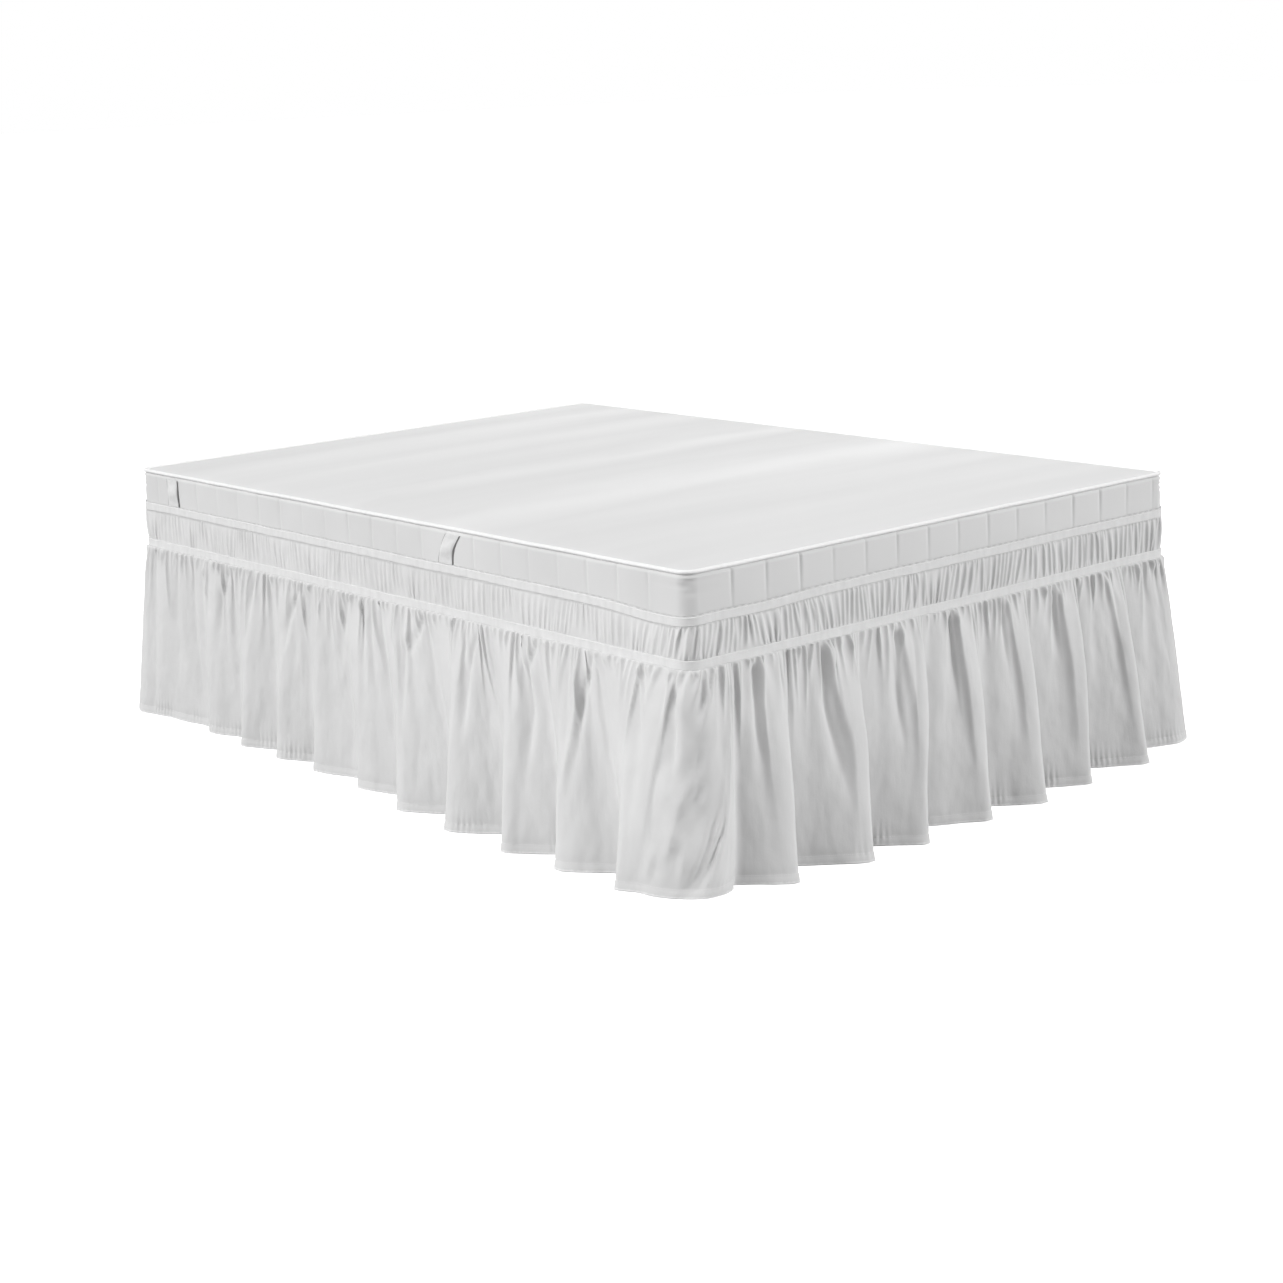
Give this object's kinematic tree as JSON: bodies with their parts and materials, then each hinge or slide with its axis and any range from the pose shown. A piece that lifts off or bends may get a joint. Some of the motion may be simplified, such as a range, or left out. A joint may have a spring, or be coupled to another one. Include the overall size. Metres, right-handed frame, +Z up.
{
  "type": "gathered bed skirt on a mattress and bed base",
  "caption": "Gathered wrap-round bed skirt with a ruched heading between elastic tapes, stretched round a plain mattress on a bed base, its ruffle falling in folds to the floor.",
  "frame": {"origin": "on the floor, under the middle of the bed and its skirt", "axes": "+Z up, X across the bed, Y along it with the foot at -Y and the head at +Y"},
  "size_m": [1.654, 2.2892, 0.606],
  "materials": {
    "skirt_cloth": "matt brushed microfibre, plain white",
    "elastic_tape": "ribbed elastic tape, white",
    "mattress_ticking": "smooth knitted ticking, white",
    "piping": "satin piping, bright white",
    "webbing": "woven webbing, white",
    "base_wood": "plain light wood",
    "leg_wood": "plain oiled wood"
  },
  "bodies": {
    "root": {"skirt_ruffle": "skirt_cloth", "skirt_heading": "skirt_cloth", "upper_tape": "elastic_tape", "lower_tape": "elastic_tape", "mattress": "mattress_ticking", "mattress_piping": "piping", "handle_left_head": "webbing", "handle_left_foot": "webbing", "handle_right_head": "webbing", "handle_right_foot": "webbing", "bed_base": "base_wood", "bed_leg_1": "leg_wood", "bed_leg_2": "leg_wood", "bed_leg_3": "leg_wood", "bed_leg_4": "leg_wood", "bed_leg_5": "leg_wood", "bed_leg_6": "leg_wood"}
  },
  "joints": []
}
